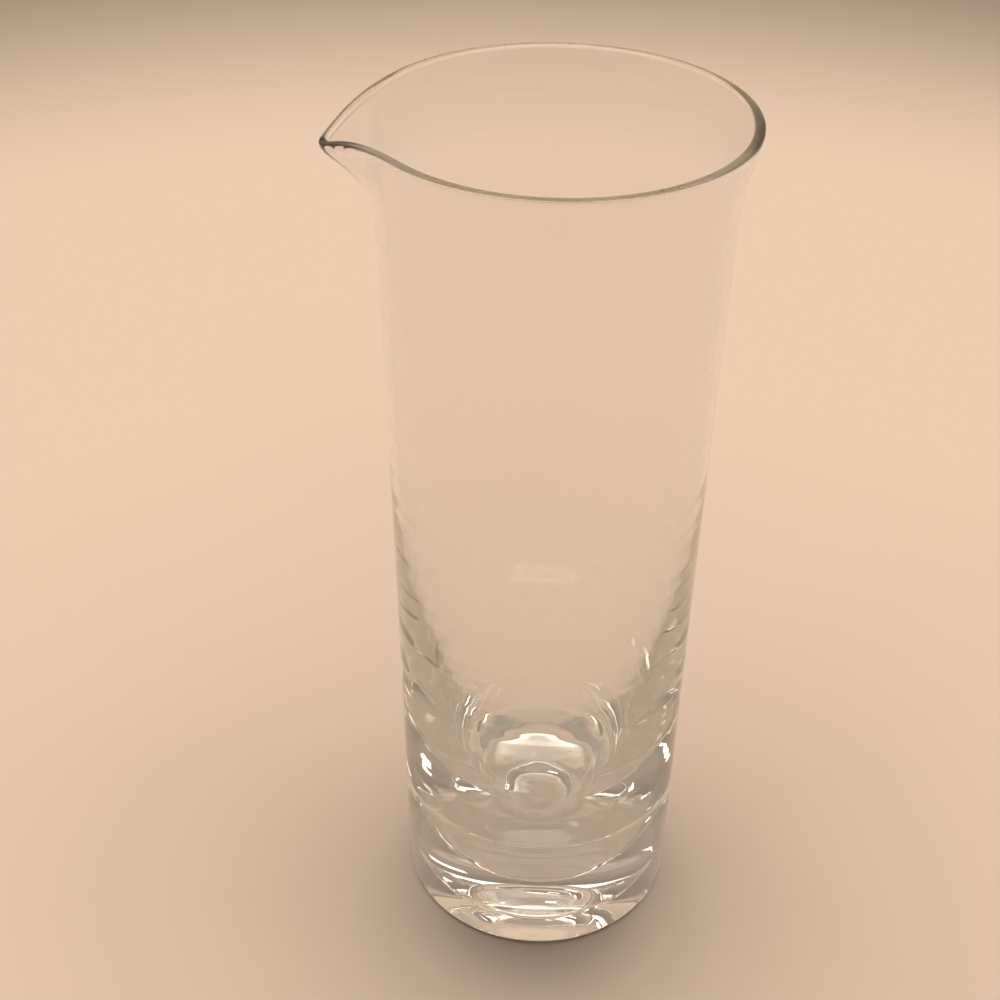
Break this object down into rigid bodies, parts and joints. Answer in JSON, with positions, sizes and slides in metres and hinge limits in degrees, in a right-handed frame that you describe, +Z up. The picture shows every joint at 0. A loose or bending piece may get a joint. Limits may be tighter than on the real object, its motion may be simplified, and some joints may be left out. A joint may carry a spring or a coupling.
{
  "type": "mixing pitcher",
  "caption": "Tall straight-sided glass pitcher with a heavy bottom, a flared mouth and a drawn pouring spout.",
  "frame": {"origin": "middle of the foot, on the surface that the pitcher stands on", "axes": "+Z up along the axis of the body, -X towards the spout, +Y completes the right-handed frame"},
  "size_m": [0.0964, 0.0884, 0.2317],
  "materials": {
    "clear_glass": "clear blown glass, fire-polished"
  },
  "bodies": {
    "root": {"pitcher_body": "clear_glass"}
  },
  "joints": []
}
